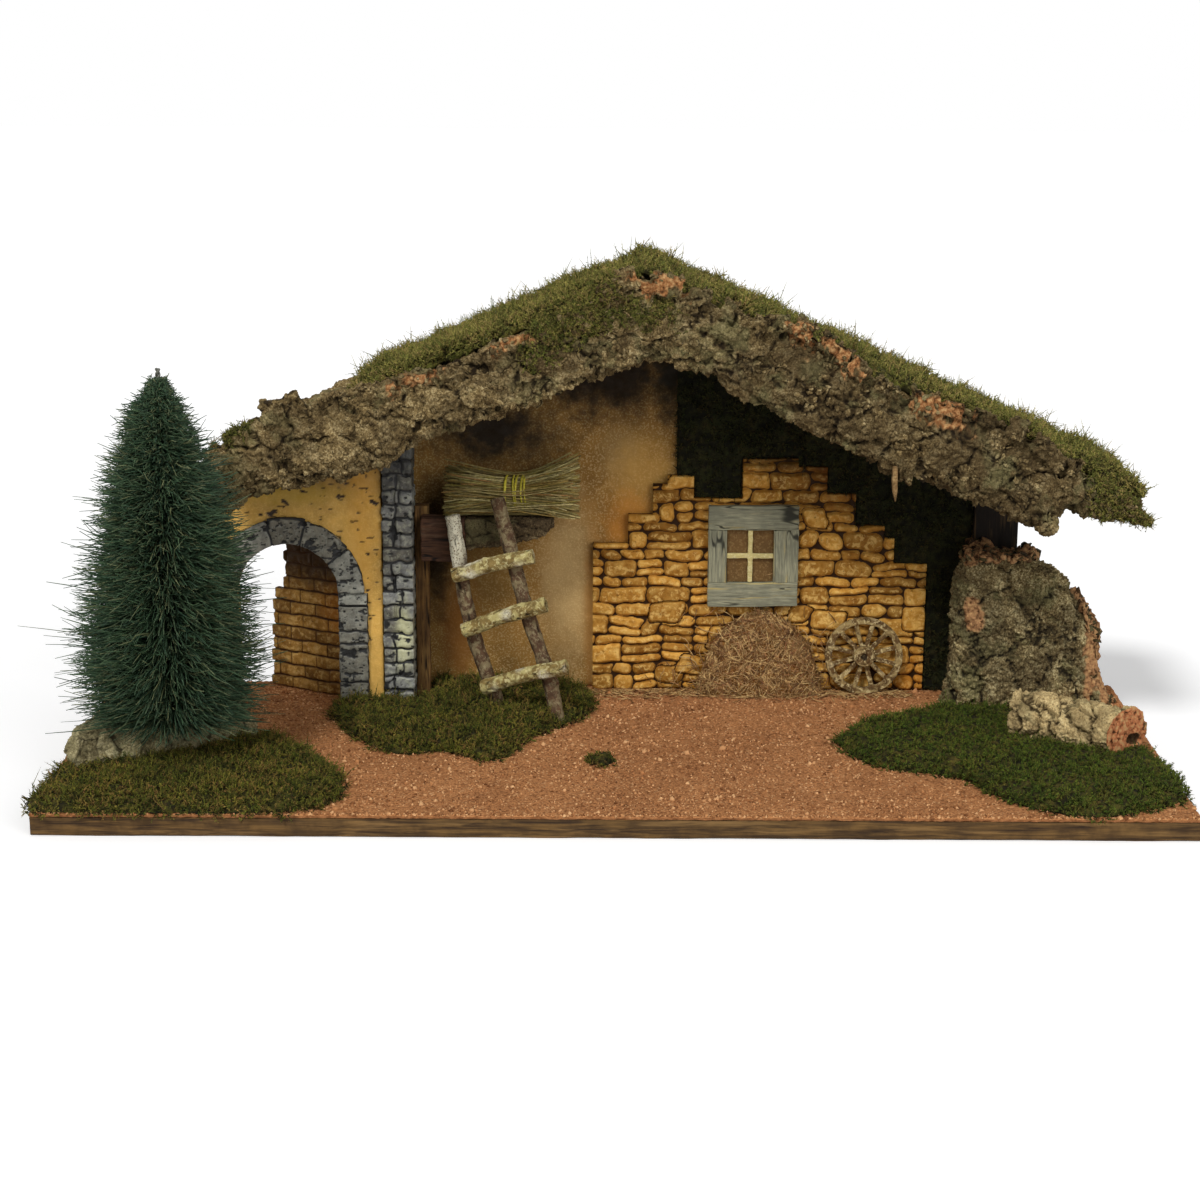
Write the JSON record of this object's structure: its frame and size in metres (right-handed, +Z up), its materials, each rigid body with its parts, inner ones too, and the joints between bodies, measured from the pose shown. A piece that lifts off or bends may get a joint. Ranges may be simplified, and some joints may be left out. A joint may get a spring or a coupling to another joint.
{
  "type": "nativity stable",
  "caption": "Nativity stable with cork-bark roof, arched porch, loft with ladder, stone wall with window, cart wheel, moss and bottle-brush fir on a base board.",
  "frame": {"origin": "centre of the base board's underside", "axes": "+X to the right seen from the open front, +Y to the back wall, +Z up"},
  "size_m": [0.7, 0.28, 0.3204],
  "materials": {
    "chipboard": "dark stained chipboard edge",
    "granules": "pinkish brown cork granules, matt and rough",
    "moss": "dried green moss, fibrous",
    "dark_moss": "dark green moss in shade, fibrous",
    "hardboard": "brown hardboard, smooth and matt",
    "plaster": "plastered board, airbrushed tan to white, grainy",
    "yellow_plaster": "moulded ochre plaster relief with small nicks, slight sheen",
    "grey_stone": "moulded stone relief painted grey with dark joints, slight sheen",
    "brick": "moulded brick relief painted sandy ochre with dark joints",
    "stone_relief": "moulded rubble stone relief painted ochre with dark joints, slight sheen",
    "dark_wood": "dark brown stained wood, matt",
    "weathered_wood": "grey blue weathered wood",
    "branch": "branch wood with bark and grey green lichen",
    "glazing": "brown textured pane",
    "window_bar": "cream painted bar",
    "bark": "virgin cork bark, deeply fissured, grey beige with lichen",
    "cork": "cork bark log, furrowed, orange pink where cut",
    "straw": "dry straw",
    "wheel": "weathered grey yellow wood",
    "raffia": "yellow raffia",
    "needles": "dark green sisal bristles",
    "wire": "dark twisted wire"
  },
  "bodies": {
    "root": {"base_board": "chipboard", "ground_granules": "granules", "back_board": "hardboard", "inner_wall": "plaster", "corner_post": "dark_wood", "stone_panel": "stone_relief", "wall_moss_top": "dark_moss", "wall_moss_right": "dark_moss", "window_sill": "weathered_wood", "window_lintel": "weathered_wood", "window_stile_left": "weathered_wood", "window_stile_right": "weathered_wood", "window_pane": "glazing", "window_bars": "window_bar", "arch_wall": "yellow_plaster", "arch_ring": "grey_stone", "arch_jamb_left": "grey_stone", "arch_jamb_right": "grey_stone", "stone_pillar": "grey_stone", "brick_side_wall": "brick", "loft_post": "dark_wood", "loft_beam": "dark_wood", "loft_shelf": "bark", "straw_bundle": "straw", "straw_tie": "raffia", "ladder_rail_left": "branch", "ladder_rail_right": "branch", "ladder_rung_1": "branch", "ladder_rung_2": "branch", "ladder_rung_3": "branch", "cart_wheel": "wheel", "straw_heap": "straw", "cork_stump": "cork", "cork_log": "cork", "cork_block": "cork", "moss_mat_left": "moss", "moss_mat_centre": "moss", "moss_mat_right": "moss", "moss_tuft": "moss", "tree_stem": "wire", "tree_bristles_1": "needles", "tree_bristles_2": "needles", "tree_bristles_3": "needles", "tree_bristles_4": "needles", "roof_board_left": "hardboard", "roof_board_right": "hardboard", "roof_bark_left": "bark", "roof_bark_right": "bark", "roof_bark_low": "bark", "roof_moss_left": "moss", "roof_moss_right": "moss", "ridge_batten": "dark_wood", "front_bark_left_1": "bark", "front_bark_left_2": "bark", "front_bark_left_3": "bark", "front_bark_right_1": "bark", "front_bark_right_2": "bark", "front_bark_right_3": "bark", "front_bark_ridge": "bark"}
  },
  "joints": []
}
